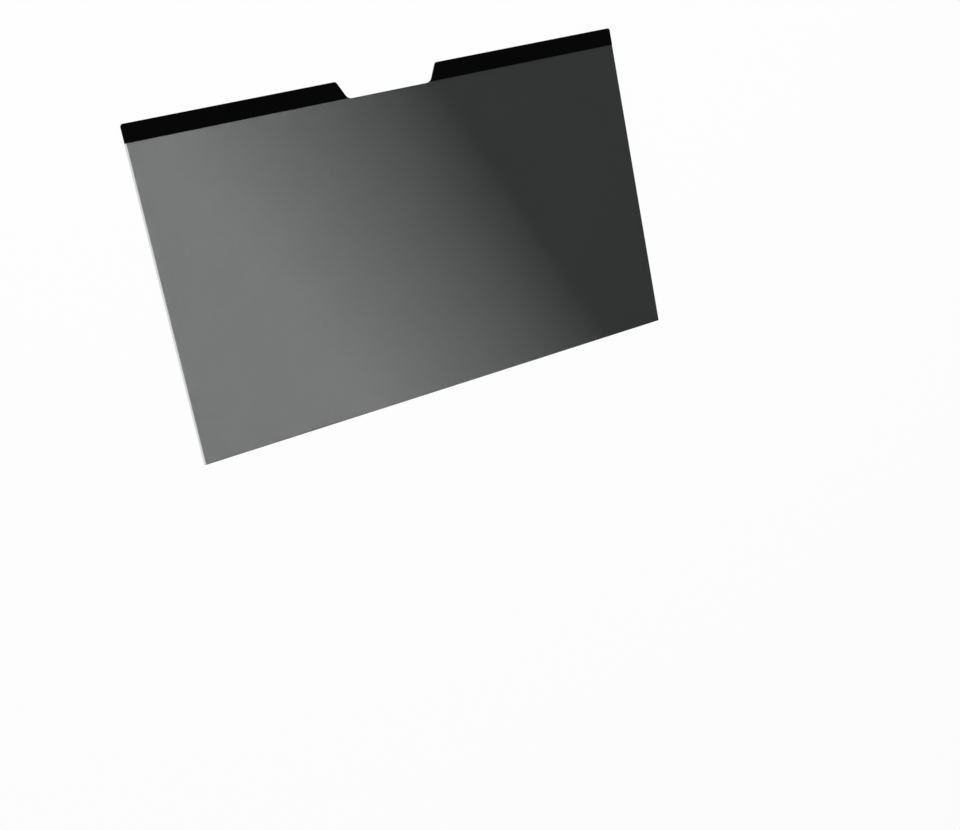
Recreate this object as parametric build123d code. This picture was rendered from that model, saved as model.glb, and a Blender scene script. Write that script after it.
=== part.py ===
from build123d import *

import os
from math import radians, tan

# Magnetic laptop privacy filter in the 14-inch size: a louvre film with a camera notch, and two strips.
# The filter lies face up on a flat surface. X runs along its width, +Y towards the edge that carries the
# strips, and +Z out of the face that the user looks at. The origin is the middle of the film's underside.

# Driving dimensions, in millimetres and degrees

film_width = 310.0
film_height = 182.4
film_thickness = 0.5

strip_height = 10.0
strip_thickness = 0.3
strip_edge_round = 0.12

notch_mouth_width = 63.5
notch_side_lean = 27.5
notch_floor_drop = 0.25

top_corner_radius = 1.6
bottom_corner_radius = 0.4
notch_mouth_radius = 1.85
notch_floor_radius = 4.0

# Sizes that follow from them

top_edge_y = film_height / 2
notch_depth = strip_height + notch_floor_drop
notch_floor_width = notch_mouth_width - 2 * notch_depth * tan(radians(notch_side_lean))


def camera_notch() -> Sketch:
    """The trapezoid cut out of the top edge, so that a camera there looks out past the film."""
    floor_y = top_edge_y - notch_depth
    half_mouth = notch_mouth_width / 2
    half_floor = notch_floor_width / 2
    return make_face(
        Polyline(
            (-half_mouth, top_edge_y),
            (-half_floor, floor_y),
            (half_floor, floor_y),
            (half_mouth, top_edge_y),
            close=True,
        )
    )


def filter_outline() -> Sketch:
    """The die-cut outline that the film and the strips share, with every corner rounded."""
    outline = Rectangle(film_width, film_height) - camera_notch()
    outline = fillet(outline.vertices().group_by(Axis.Y)[1], notch_floor_radius)
    outline = fillet(outline.vertices().group_by(Axis.Y)[0], bottom_corner_radius)
    mouth_corners = outline.vertices().group_by(Axis.Y)[-1].sort_by(Axis.X)[1:-1]
    outline = fillet(mouth_corners, notch_mouth_radius)
    along_top = outline.vertices().group_by(Axis.Y)[-1].sort_by(Axis.X)
    return fillet([along_top[0], along_top[-1]], top_corner_radius)


def privacy_film(outline: Sketch) -> Part:
    """The louvre film, one flat sheet with the whole outline."""
    return extrude(outline, film_thickness)


def magnetic_strips(outline: Sketch) -> list[Part]:
    """The left and the right strip, bonded to the two tabs beside the notch and cut flush with them."""
    band = Pos(0, top_edge_y - strip_height / 2) * Rectangle(film_width, strip_height)
    tabs = (outline & band).faces().sort_by(Axis.X)
    strips = []
    for tab in tabs:
        strip = Pos(0, 0, film_thickness) * extrude(tab, strip_thickness)
        rim = strip.faces().sort_by(Axis.Z)[-1].edges()
        strips.append(fillet(rim, strip_edge_round))
    return strips


die_cut = filter_outline()
left_strip, right_strip = magnetic_strips(die_cut)
nodes = {
    "privacy_film": privacy_film(die_cut),
    "left_magnetic_strip": left_strip,
    "right_magnetic_strip": right_strip,
}

os.makedirs("parts", exist_ok=True)
for name, solid in nodes.items():
    export_step(solid, f"parts/{name}.step")
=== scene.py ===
import logging
import math
from dataclasses import dataclass
from enum import Enum

import bmesh
import bpy
from mathutils import Euler, Matrix, Vector


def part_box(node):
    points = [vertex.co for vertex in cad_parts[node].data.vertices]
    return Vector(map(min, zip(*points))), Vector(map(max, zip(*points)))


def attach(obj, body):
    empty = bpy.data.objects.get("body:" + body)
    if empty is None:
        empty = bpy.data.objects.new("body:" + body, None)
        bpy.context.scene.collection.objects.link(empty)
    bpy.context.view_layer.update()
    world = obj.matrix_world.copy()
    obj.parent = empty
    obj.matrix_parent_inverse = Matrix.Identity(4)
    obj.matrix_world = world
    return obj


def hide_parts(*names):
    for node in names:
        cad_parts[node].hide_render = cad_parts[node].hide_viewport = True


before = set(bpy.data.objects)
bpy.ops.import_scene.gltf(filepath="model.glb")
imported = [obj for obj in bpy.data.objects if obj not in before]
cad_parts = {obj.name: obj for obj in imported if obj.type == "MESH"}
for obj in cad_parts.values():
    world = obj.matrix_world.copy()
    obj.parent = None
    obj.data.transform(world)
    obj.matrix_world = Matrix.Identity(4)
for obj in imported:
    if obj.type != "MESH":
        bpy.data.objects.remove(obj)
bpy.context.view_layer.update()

# The looks of a magnetic laptop privacy filter, in metres, lying face up on a pale studio floor.
# The film is a clear satin sheet with slanted black louvres inside it, so it is see-through from the
# front and dark from the side. A matte black magnetic strip sits on each tab beside the camera notch.

MM = 0.001
WHITE = (1.0, 1.0, 1.0, 1.0)

log = logging.getLogger("privacy_filter")


class Side(Enum):
    """The two tabs beside the camera notch, with the sign of X on each."""

    LEFT = -1
    RIGHT = 1


class SheetSlot(Enum):
    """The film sheet's material slots, in the order of its finishes."""

    SATIN = 0
    CUT_EDGE = 1
    MARGIN = 2


class Shade:
    """Short ways to place and join shader nodes in one node tree."""

    def __init__(self, tree: bpy.types.NodeTree) -> None:
        """Keeps the tree that the nodes go into."""
        self.tree = tree

    def node(self, kind: str, **settings: object) -> bpy.types.Node:
        """Adds a node and sets its properties.

        Args:
            kind: The node's type name.
            settings: Properties of the node, by name.

        Returns:
            The new node.
        """
        made = self.tree.nodes.new(kind)
        for name, value in settings.items():
            setattr(made, name, value)
        return made

    def join(self, start: bpy.types.NodeSocket, end: bpy.types.NodeSocket) -> None:
        """Links an output to an input."""
        self.tree.links.new(start, end)

    def maths(self, operation: str, first: bpy.types.NodeSocket, second: float) -> bpy.types.NodeSocket:
        """Adds a Math node that combines a socket with a number.

        Args:
            operation: The Math node's operation.
            first: The socket that is read.
            second: The number that it is combined with.

        Returns:
            The result's socket.
        """
        made = self.node("ShaderNodeMath", operation=operation)
        self.join(first, made.inputs[0])
        made.inputs[1].default_value = second
        return made.outputs[0]


class GrainGroup:
    """The shader node group that every finish shares: fine grain, drawn lines and slow unevenness."""

    NAME = "fine_grain"
    GRAIN_OCTAVES = 2.0
    LINE_OCTAVES = 3.0
    DRIFT_OCTAVES = 4.0
    # A small scale along X draws the noise out into lines.
    LINE_STRETCH = (0.02, 1.0, 1.0)

    @classmethod
    def tree(cls) -> bpy.types.NodeTree:
        """Builds the group once.

        Returns:
            The group, with the outputs Height, Lines and Drift, each from 0 to 1.
        """
        known = bpy.data.node_groups.get(cls.NAME)
        if known is not None:
            return known
        tree = bpy.data.node_groups.new(cls.NAME, "ShaderNodeTree")
        for name in ("Grains per metre", "Lines per metre", "Drifts per metre"):
            tree.interface.new_socket(name, in_out="INPUT", socket_type="NodeSocketFloat")
        for name in ("Height", "Lines", "Drift"):
            tree.interface.new_socket(name, in_out="OUTPUT", socket_type="NodeSocketFloat")
        shade = Shade(tree)
        given = shade.node("NodeGroupInput").outputs
        result = shade.node("NodeGroupOutput").inputs
        place = shade.node("ShaderNodeTexCoord").outputs["Object"]
        stretched = shade.node("ShaderNodeMapping")
        stretched.inputs["Scale"].default_value = cls.LINE_STRETCH
        shade.join(place, stretched.inputs["Vector"])
        along = stretched.outputs["Vector"]
        cls._noise(shade, place, given["Grains per metre"], result["Height"], cls.GRAIN_OCTAVES)
        cls._noise(shade, along, given["Lines per metre"], result["Lines"], cls.LINE_OCTAVES)
        cls._noise(shade, place, given["Drifts per metre"], result["Drift"], cls.DRIFT_OCTAVES)
        return tree

    @staticmethod
    def _noise(
        shade: Shade,
        place: bpy.types.NodeSocket,
        scale: bpy.types.NodeSocket,
        result: bpy.types.NodeSocket,
        octaves: float,
    ) -> None:
        """Adds one noise texture.

        Args:
            shade: The tree's helper.
            place: The coordinates that the noise is read at.
            scale: The number of features in a metre.
            result: The socket that takes the noise.
            octaves: The number of finer octaves.
        """
        noise = shade.node("ShaderNodeTexNoise")
        noise.inputs["Detail"].default_value = octaves
        shade.join(place, noise.inputs["Vector"])
        shade.join(scale, noise.inputs["Scale"])
        shade.join(noise.outputs["Fac"], result)


@dataclass(frozen=True)
class Finish:
    """One surface finish: its colour, gloss and the fine grain on it."""

    name: str
    dark: tuple[float, float, float]
    light: tuple[float, float, float]
    roughness: float
    roughness_spread: float
    specular: float
    alpha: float = 1.0
    ior: float = 1.5
    grains_per_metre: float = 4000.0
    grain_depth: float = 0.0
    lines_per_metre: float = 1500.0
    line_depth: float = 0.0
    drifts_per_metre: float = 14.0

    def material(self) -> bpy.types.Material:
        """Builds the finish.

        Returns:
            A material with one Principled shader fed by the shared grain.
        """
        made = bpy.data.materials.new(self.name)
        made.use_nodes = True
        made.node_tree.nodes.clear()
        shade = Shade(made.node_tree)
        surface = shade.node("ShaderNodeBsdfPrincipled")
        surface.inputs["Alpha"].default_value = self.alpha
        surface.inputs["IOR"].default_value = self.ior
        surface.inputs["Specular IOR Level"].default_value = self.specular
        grain = shade.node("ShaderNodeGroup", node_tree=GrainGroup.tree())
        grain.inputs["Grains per metre"].default_value = self.grains_per_metre
        grain.inputs["Lines per metre"].default_value = self.lines_per_metre
        grain.inputs["Drifts per metre"].default_value = self.drifts_per_metre
        self._colour(shade, grain, surface)
        self._roughness(shade, grain, surface)
        self._relief(shade, grain, surface)
        output = shade.node("ShaderNodeOutputMaterial")
        shade.join(surface.outputs["BSDF"], output.inputs["Surface"])
        return made

    def _colour(self, shade: Shade, grain: bpy.types.Node, surface: bpy.types.Node) -> None:
        """Lets the colour wander slowly between the dark and the light tone.

        Args:
            shade: The material's helper.
            grain: The shared grain's node.
            surface: The Principled shader that takes the colour.
        """
        mix = shade.node("ShaderNodeMix", data_type="RGBA")
        mix.inputs["A"].default_value = (*self.dark, 1.0)
        mix.inputs["B"].default_value = (*self.light, 1.0)
        shade.join(grain.outputs["Drift"], mix.inputs["Factor"])
        shade.join(mix.outputs["Result"], surface.inputs["Base Color"])

    def _roughness(self, shade: Shade, grain: bpy.types.Node, surface: bpy.types.Node) -> None:
        """Varies the roughness with the grain.

        Args:
            shade: The material's helper.
            grain: The shared grain's node.
            surface: The Principled shader that takes the roughness.
        """
        spread = shade.node("ShaderNodeMapRange")
        spread.inputs["To Min"].default_value = self.roughness - self.roughness_spread
        spread.inputs["To Max"].default_value = self.roughness + self.roughness_spread
        shade.join(grain.outputs["Height"], spread.inputs["Value"])
        shade.join(spread.outputs["Result"], surface.inputs["Roughness"])

    def _relief(self, shade: Shade, grain: bpy.types.Node, surface: bpy.types.Node) -> None:
        """Raises the grain and the drawn lines as bump, with their depths in metres.

        Args:
            shade: The material's helper.
            grain: The shared grain's node.
            surface: The Principled shader that takes the bumped normal.
        """
        grains = shade.maths("MULTIPLY", grain.outputs["Height"], self.grain_depth)
        lines = shade.maths("MULTIPLY", grain.outputs["Lines"], self.line_depth)
        height = shade.node("ShaderNodeMath", operation="ADD")
        shade.join(grains, height.inputs[0])
        shade.join(lines, height.inputs[1])
        bump = shade.node("ShaderNodeBump")
        bump.inputs["Distance"].default_value = 1.0
        shade.join(height.outputs[0], bump.inputs["Height"])
        shade.join(bump.outputs["Normal"], surface.inputs["Normal"])


SATIN_FILM = Finish(
    name="satin_film",
    dark=(0.078, 0.086, 0.083),
    light=(0.088, 0.095, 0.092),
    roughness=0.80,
    roughness_spread=0.05,
    specular=0.15,
    alpha=0.157,
)
CLEAR_MARGIN = Finish(
    name="clear_margin",
    dark=(0.16, 0.17, 0.17),
    light=(0.20, 0.21, 0.21),
    roughness=0.80,
    roughness_spread=0.05,
    specular=0.15,
    alpha=0.2,
)
CUT_EDGE = Finish(
    name="cut_edge",
    dark=(0.0010, 0.0011, 0.0011),
    light=(0.0022, 0.0025, 0.0024),
    roughness=0.6,
    roughness_spread=0.1,
    specular=0.02,
)
LOUVRE_BLACK = Finish(
    name="louvre_black",
    dark=(0.0340, 0.0372, 0.0363),
    light=(0.0385, 0.0420, 0.0411),
    roughness=0.9,
    roughness_spread=0.05,
    specular=0.0,
)
MAGNET_BLACK = Finish(
    name="magnet_black",
    dark=(0.0006, 0.0006, 0.0006),
    light=(0.0016, 0.0016, 0.0016),
    roughness=0.58,
    roughness_spread=0.08,
    specular=0.012,
    grains_per_metre=2500.0,
    grain_depth=0.000006,
    line_depth=0.000004,
)


class Piece:
    """Ways to cut and round a bmesh and to turn it into a finished piece of the filter."""

    # Edges that turn by more than this angle are outer edges of a slab.
    SHARP_ANGLE = math.radians(60.0)
    # A vertex within this share of the rounding's radius counts as level with the rim.
    RIM_TOLERANCE = 0.01

    @staticmethod
    def place(mesh: bmesh.types.BMesh, name: str, finishes: list[Finish]) -> bpy.types.Object:
        """Makes an object of a bmesh, dresses it and lets it ride on the filter's only body.

        Args:
            mesh: The finished shape, which is freed.
            name: The piece's name.
            finishes: One finish for each material slot.

        Returns:
            The new object.
        """
        data = bpy.data.meshes.new(name)
        mesh.to_mesh(data)
        mesh.free()
        for finish in finishes:
            data.materials.append(bpy.data.materials.get(finish.name) or finish.material())
        made = bpy.data.objects.new(name, data)
        bpy.context.scene.collection.objects.link(made)
        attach(made, "root")
        return made

    @staticmethod
    def split(mesh: bmesh.types.BMesh, point: Vector, way: Vector, drop_back: bool = False) -> None:
        """Cuts a bmesh along a plane.

        Args:
            mesh: The shape.
            point: A place on the plane.
            way: The direction that the plane faces.
            drop_back: Whether the part behind the plane is removed.
        """
        parts = mesh.verts[:] + mesh.edges[:] + mesh.faces[:]
        bmesh.ops.bisect_plane(mesh, geom=parts, plane_co=point, plane_no=way, clear_inner=drop_back)

    @staticmethod
    def thicken(mesh: bmesh.types.BMesh, height: float) -> None:
        """Extrudes every face of a flat bmesh upwards into a closed slab.

        Args:
            mesh: The flat shape.
            height: The slab's thickness.
        """
        raised = bmesh.ops.extrude_face_region(mesh, geom=mesh.faces[:], use_keep_orig=True)
        corners = [part for part in raised["geom"] if isinstance(part, bmesh.types.BMVert)]
        bmesh.ops.translate(mesh, verts=corners, vec=Vector((0.0, 0.0, height)))
        bmesh.ops.recalc_face_normals(mesh, faces=mesh.faces[:])

    @staticmethod
    def round_rim(
        mesh: bmesh.types.BMesh, level: float, radius: float, segments: int, from_middle: float = 0.0
    ) -> None:
        """Rounds the outer edges that lie at one height.

        Args:
            mesh: The slab.
            level: The height of the rim.
            radius: The size of the rounding.
            segments: The number of faces across it.
            from_middle: The distance from X = 0 inside which the edges stay sharp.
        """
        near = radius * Piece.RIM_TOLERANCE

        def on_rim(end: bmesh.types.BMVert) -> bool:
            """Whether a vertex lies on the part of the rim that is rounded."""
            return abs(end.co.z - level) < near and abs(end.co.x) > from_middle - near

        sharp = [edge for edge in mesh.edges if edge.calc_face_angle(0.0) > Piece.SHARP_ANGLE]
        rim = [edge for edge in sharp if all(on_rim(end) for end in edge.verts)]
        bmesh.ops.bevel(
            mesh,
            geom=rim,
            offset=radius,
            offset_type="OFFSET",
            segments=segments,
            profile=0.5,
            affect="EDGES",
            material=-1,
        )


@dataclass
class DieCut:
    """The outline that the film and the strips share, with its camera notch."""

    width: float
    height: float
    strip_height: float
    mouth_width: float = 63.5 * MM
    side_lean: float = math.radians(27.5)
    floor_drop: float = 0.25 * MM
    top_radius: float = 1.6 * MM
    bottom_radius: float = 0.4 * MM
    mouth_radius: float = 1.85 * MM
    floor_radius: float = 4.0 * MM
    arc_segments: int = 10

    @property
    def top(self) -> float:
        """Y of the top edge."""
        return self.height / 2

    @property
    def floor(self) -> float:
        """Y of the notch's floor."""
        return self.top - self.strip_height - self.floor_drop

    @property
    def half_mouth(self) -> float:
        """Half of the notch's width at its mouth."""
        return self.mouth_width / 2

    @property
    def half_floor(self) -> float:
        """Half of the notch's width at its floor."""
        return self.half_mouth - (self.top - self.floor) * math.tan(self.side_lean)

    def face(self, level: float) -> bmesh.types.BMesh:
        """Draws the outline as one flat face with rounded corners.

        Args:
            level: The height at which it lies.

        Returns:
            A bmesh with that face.
        """
        half_width = self.width / 2
        left_half = [
            (-self.half_floor, self.floor, self.floor_radius),
            (-self.half_mouth, self.top, self.mouth_radius),
            (-half_width, self.top, self.top_radius),
            (-half_width, -self.top, self.bottom_radius),
        ]
        right_half = [(-x, y, radius) for x, y, radius in reversed(left_half)]
        corners = left_half + right_half
        radii = [radius for _, _, radius in corners]
        points = [Vector((x, y, level)) for x, y, _ in corners]
        mesh = bmesh.new()
        arcs = []
        for index, (point, radius) in enumerate(zip(points, radii)):
            back = (points[index - 1] - point).normalized()
            ahead = (points[(index + 1) % len(points)] - point).normalized()
            arcs.append(self._arc(mesh, point, back, ahead, radius))
        for before, after in zip(arcs[-1:] + arcs[:-1], arcs):
            mesh.edges.new((before[1], after[0]))
        bmesh.ops.edgeloop_fill(mesh, edges=mesh.edges[:])
        bmesh.ops.recalc_face_normals(mesh, faces=mesh.faces[:])
        return mesh

    def _arc(
        self,
        mesh: bmesh.types.BMesh,
        corner: Vector,
        back: Vector,
        ahead: Vector,
        radius: float,
    ) -> tuple[bmesh.types.BMVert, bmesh.types.BMVert]:
        """Spins the arc that rounds one corner.

        Args:
            mesh: The bmesh that takes the arc.
            corner: The sharp corner.
            back: The direction from the corner along the edge before it.
            ahead: The direction from the corner along the edge after it.
            radius: The arc's radius.

        Returns:
            The arc's first and last vertex.
        """
        half = back.angle(ahead) / 2
        centre = corner + (back + ahead).normalized() * radius / math.sin(half)
        turn = math.copysign(math.pi - 2 * half, ahead.cross(back).z)
        first = mesh.verts.new(corner + back * radius / math.tan(half))
        spun = bmesh.ops.spin(
            mesh, geom=[first], cent=centre, axis=(0.0, 0.0, 1.0), angle=turn, steps=self.arc_segments
        )
        return first, spun["geom_last"][0]

    def notch_edge(self, across: float) -> float:
        """Follows the notch's floor outwards and up the arc at its end.

        Args:
            across: The distance from the middle of the notch.

        Returns:
            Y of the film's edge there, or of the arc's quarter turn where it would be further out.
        """
        arc_start = self.half_floor - self.floor_radius * math.tan((math.pi / 2 - self.side_lean) / 2)
        along = min(max(across - arc_start, 0.0), self.floor_radius)
        return self.floor + self.floor_radius - math.sqrt(self.floor_radius**2 - along**2)


@dataclass
class PrivacyFilm:
    """The clear satin sheet and the slanted louvres inside it."""

    cut: DieCut
    thickness: float
    edge_break: float = 0.04 * MM
    edge_seal: float = 0.3 * MM
    flat_normal: float = 0.9
    louvre_pitch: float = 0.25 * MM
    louvre_base: float = 0.191 * MM
    louvre_tip: float = 0.0125 * MM
    louvre_height: float = 0.293 * MM
    louvre_slant: float = math.radians(26.0)
    longest_facet: float = 20.0 * MM
    blade_cuts: int = 9
    clear_margin: float = 1.0 * MM
    edge_inset: float = 0.2 * MM
    strip_overlap: float = 0.2 * MM

    @property
    def margin_end(self) -> float:
        """X where the clear margin ends and the louvres start."""
        return -self.cut.width / 2 + self.clear_margin

    @property
    def lean(self) -> float:
        """Distance that a louvre runs to the left for each unit that it runs up the film."""
        return math.tan(self.louvre_slant)

    def build(self) -> list[bpy.types.Object]:
        """Makes the sheet and its louvres.

        Returns:
            The two objects.
        """
        sheet = Piece.place(self._sheet(), "film_sheet", [SATIN_FILM, CUT_EDGE, CLEAR_MARGIN])
        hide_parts("privacy_film")
        louvres = Piece.place(self._louvres(), "film_louvres", [LOUVRE_BLACK])
        return [sheet, louvres]

    def _sheet(self) -> bmesh.types.BMesh:
        """Extrudes the die-cut face, seals its edge and leaves a clear margin on the left.

        Returns:
            The closed sheet, with the slots of the satin face, the cut edge and the margin.
        """
        mesh = self.cut.face(level=0.0)
        Piece.thicken(mesh, self.thickness)
        for level in (0.0, self.thickness):
            Piece.round_rim(mesh, level, self.edge_break, segments=1)
        for face in mesh.faces:
            flat = abs(face.normal.z) > self.flat_normal
            face.material_index = SheetSlot.SATIN.value if flat else SheetSlot.CUT_EDGE.value
        front = [face for face in mesh.faces if face.normal.z > self.flat_normal]
        sealed = bmesh.ops.inset_region(mesh, faces=front, thickness=self.edge_seal, use_even_offset=True)
        for face in sealed["faces"]:
            face.material_index = SheetSlot.CUT_EDGE.value
        Piece.split(mesh, Vector((self.margin_end, 0.0, 0.0)), Vector((1.0, 0.0, 0.0)))
        for face in mesh.faces:
            if face.calc_center_median().x < self.margin_end:
                face.material_index = SheetSlot.MARGIN.value
        return mesh

    def _louvres(self) -> bmesh.types.BMesh:
        """Stands a black blade at every pitch from the clear margin to the right-hand edge.

        Returns:
            All the blades.
        """
        mesh = bmesh.new()
        step = self.louvre_pitch / math.cos(self.louvre_slant)
        reach = self.cut.top * self.lean
        first = self.margin_end - reach
        room = self.cut.width / 2 + reach - first
        for index in range(int(room / step) + 1):
            x = first + index * step
            low, high = self._span(x)
            if high - low > self.louvre_pitch:
                self._blade(mesh, x, low, high)
        long_edges = [edge for edge in mesh.edges if edge.calc_length() > self.longest_facet]
        bmesh.ops.subdivide_edges(mesh, edges=long_edges, cuts=self.blade_cuts, use_grid_fill=True)
        return mesh

    def _span(self, x: float) -> tuple[float, float]:
        """Finds the ends of a blade inside the film's outline.

        Args:
            x: The place where the blade's line crosses the middle of the film's height.

        Returns:
            Y of the lower and of the upper end.
        """
        right = self.cut.width / 2 - self.edge_inset
        low = max(-self.cut.top + self.edge_inset, (x - right) / self.lean)
        under_strip = self.cut.top - self.cut.strip_height + self.strip_overlap
        # The nearest that the blade's side comes to the notch's middle, between the floor and the strip.
        across = min(abs(x - y * self.lean) for y in (self.cut.floor, under_strip)) - self.louvre_base
        by_notch = self.cut.notch_edge(across) - self.edge_inset
        return low, min(under_strip, by_notch, (x - self.margin_end) / self.lean)

    def _blade(self, mesh: bmesh.types.BMesh, x: float, low: float, high: float) -> None:
        """Adds one wedge-shaped blade, wide at the film's front and narrow at its back.

        Args:
            mesh: The bmesh that takes the blade.
            x: The place where the blade's line crosses the middle of the film's height.
            low: Y of its lower end.
            high: Y of its upper end.
        """
        middle = (low + high) / 2
        centre = Vector((x - middle * self.lean, middle, self.thickness / 2))
        length = (high - low) / math.cos(self.louvre_slant)
        stand = Matrix.Translation(centre) @ Matrix.Rotation(self.louvre_slant, 4, "Z")
        size = Matrix.Diagonal((self.louvre_base, length, self.louvre_height, 1.0))
        blade = bmesh.ops.create_cube(mesh, size=1.0, matrix=stand @ size)
        tip = [corner for corner in blade["verts"] if corner.co.z < centre.z]
        narrowing = Vector((self.louvre_tip / self.louvre_base, 1.0, 1.0))
        bmesh.ops.scale(mesh, vec=narrowing, space=stand.inverted(), verts=tip)


@dataclass
class MagneticStrip:
    """One flat black magnetic strip, cut flush with its tab of the film."""

    cut: DieCut
    side: Side
    seat: float
    thickness: float
    rim_round: float = 0.12 * MM
    rim_segments: int = 3
    sharp_tip: float = 1.5 * MM

    def build(self) -> bpy.types.Object:
        """Makes the strip.

        Returns:
            The object, which stands for its CAD node.
        """
        node = f"{self.side.name.lower()}_magnetic_strip"
        made = Piece.place(self._slab(), f"{node}_body", [MAGNET_BLACK])
        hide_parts(node)
        return made

    def _slab(self) -> bmesh.types.BMesh:
        """Cuts the tab out of the shared outline, thickens it and rounds its upper rim.

        Returns:
            The closed strip.
        """
        mesh = self.cut.face(level=self.seat)
        lower_edge = Vector((0.0, self.cut.top - self.cut.strip_height, 0.0))
        up = Vector((0.0, 1.0, 0.0))
        outwards = Vector((self.side.value, 0.0, 0.0))
        Piece.split(mesh, lower_edge, up, drop_back=True)
        Piece.split(mesh, Vector(), outwards, drop_back=True)
        Piece.thicken(mesh, self.thickness)
        tip = min(abs(corner.co.x) for corner in mesh.verts)
        rounded_from = tip + self.sharp_tip
        Piece.split(mesh, outwards * rounded_from, outwards)
        rim_level = self.seat + self.thickness
        Piece.round_rim(mesh, rim_level, self.rim_round, self.rim_segments, rounded_from)
        return mesh


@dataclass
class Studio:
    """The floor, the soft light and the camera."""

    floor_size: float = 8.0
    floor_level: float = -0.05 * MM
    floor_colour: tuple[float, float, float] = (0.94, 0.94, 0.94)
    floor_glow: float = 0.9
    sky_strength: float = 0.5
    sky_seen_strength: float = 1.0
    softbox_place: tuple[float, float, float] = (0.0, 0.8, 1.5)
    softbox_size: float = 1.2
    softbox_power: float = 16.0
    camera_place: tuple[float, float, float] = (-0.38361, 0.08390, 0.73696)
    camera_degrees: tuple[float, float, float] = (-6.870, -30.439, -12.904)
    camera_lens: float = 54.45
    camera_sensor: float = 36.0

    def build(self) -> None:
        """Sets up the whole studio."""
        self._floor()
        self._sky()
        self._softbox()
        self._camera()
        bpy.context.scene.view_settings.view_transform = "Standard"

    def _floor(self) -> None:
        """Lays a pale floor that stays white to the camera and still takes shadows."""
        mesh = bmesh.new()
        level = Matrix.Translation((0.0, 0.0, self.floor_level))
        bmesh.ops.create_grid(mesh, x_segments=1, y_segments=1, size=self.floor_size / 2, matrix=level)
        data = bpy.data.meshes.new("studio_floor")
        mesh.to_mesh(data)
        mesh.free()
        data.materials.append(self._floor_material())
        floor = bpy.data.objects.new("studio_floor", data)
        bpy.context.scene.collection.objects.link(floor)

    def _floor_material(self) -> bpy.types.Material:
        """Mixes a matte floor with its own white for camera, mirror and glass rays.

        Returns:
            The floor's material.
        """
        made = bpy.data.materials.new("studio_floor")
        made.use_nodes = True
        made.node_tree.nodes.clear()
        shade = Shade(made.node_tree)
        matte = shade.node("ShaderNodeBsdfDiffuse")
        matte.inputs["Color"].default_value = (*self.floor_colour, 1.0)
        white = shade.node("ShaderNodeEmission")
        white.inputs["Color"].default_value = WHITE
        share = shade.maths("MULTIPLY", self._seen(shade), self.floor_glow)
        mix = shade.node("ShaderNodeMixShader")
        shade.join(share, mix.inputs["Fac"])
        shade.join(matte.outputs["BSDF"], mix.inputs[1])
        shade.join(white.outputs["Emission"], mix.inputs[2])
        output = shade.node("ShaderNodeOutputMaterial")
        shade.join(mix.outputs["Shader"], output.inputs["Surface"])
        return made

    @staticmethod
    def _seen(shade: Shade) -> bpy.types.NodeSocket:
        """Tells the rays that show the studio from those that only carry its light.

        Args:
            shade: The helper of the tree that takes the nodes.

        Returns:
            A socket with 1 for a camera, mirror or glass ray, and 0 for any other.
        """
        path = shade.node("ShaderNodeLightPath")
        mirrored = shade.node("ShaderNodeMath", operation="MAXIMUM")
        shade.join(path.outputs["Is Camera Ray"], mirrored.inputs[0])
        shade.join(path.outputs["Is Glossy Ray"], mirrored.inputs[1])
        either = shade.node("ShaderNodeMath", operation="MAXIMUM")
        shade.join(mirrored.outputs[0], either.inputs[0])
        shade.join(path.outputs["Is Transmission Ray"], either.inputs[1])
        return either.outputs[0]

    def _sky(self) -> None:
        """Surrounds the filter with even light, and shows white behind it."""
        sky = bpy.data.worlds.new("studio_sky")
        sky.use_nodes = True
        sky.node_tree.nodes.clear()
        shade = Shade(sky.node_tree)
        strength = shade.node("ShaderNodeMapRange")
        strength.inputs["To Min"].default_value = self.sky_strength
        strength.inputs["To Max"].default_value = self.sky_seen_strength
        shade.join(self._seen(shade), strength.inputs["Value"])
        light = shade.node("ShaderNodeBackground")
        light.inputs["Color"].default_value = WHITE
        shade.join(strength.outputs["Result"], light.inputs["Strength"])
        output = shade.node("ShaderNodeOutputWorld")
        shade.join(light.outputs["Background"], output.inputs["Surface"])
        bpy.context.scene.world = sky

    def _softbox(self) -> None:
        """Hangs one large soft lamp over the filter's top edge, aimed at its middle."""
        data = bpy.data.lights.new("softbox", "AREA")
        data.shape = "SQUARE"
        data.size = self.softbox_size
        data.energy = self.softbox_power
        lamp = bpy.data.objects.new("softbox", data)
        lamp.location = self.softbox_place
        lamp.rotation_euler = Vector(self.softbox_place).to_track_quat("Z", "Y").to_euler()
        bpy.context.scene.collection.objects.link(lamp)

    def _camera(self) -> None:
        """Stands the camera where the photograph was taken from, relative to the film."""
        data = bpy.data.cameras.new("camera")
        data.sensor_width = self.camera_sensor
        data.lens = self.camera_lens
        camera = bpy.data.objects.new("camera", data)
        camera.location = self.camera_place
        camera.rotation_euler = Euler([math.radians(angle) for angle in self.camera_degrees], "XYZ")
        bpy.context.scene.collection.objects.link(camera)
        bpy.context.scene.camera = camera


def main() -> None:
    """Builds the film, the strips and the studio in order."""
    logging.basicConfig(level=logging.INFO, format="%(message)s")
    film_low, film_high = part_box("privacy_film")
    strip_low, strip_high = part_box("left_magnetic_strip")
    film_size = film_high - film_low
    strip_size = strip_high - strip_low
    cut = DieCut(width=film_size.x, height=film_size.y, strip_height=strip_size.y)
    pieces = PrivacyFilm(cut, thickness=film_size.z).build()
    for side in Side:
        pieces.append(MagneticStrip(cut, side, seat=strip_low.z, thickness=strip_size.z).build())
    for piece in pieces:
        log.info("%s: %d faces", piece.name, len(piece.data.polygons))
    Studio().build()


if __name__ == "__main__":
    main()
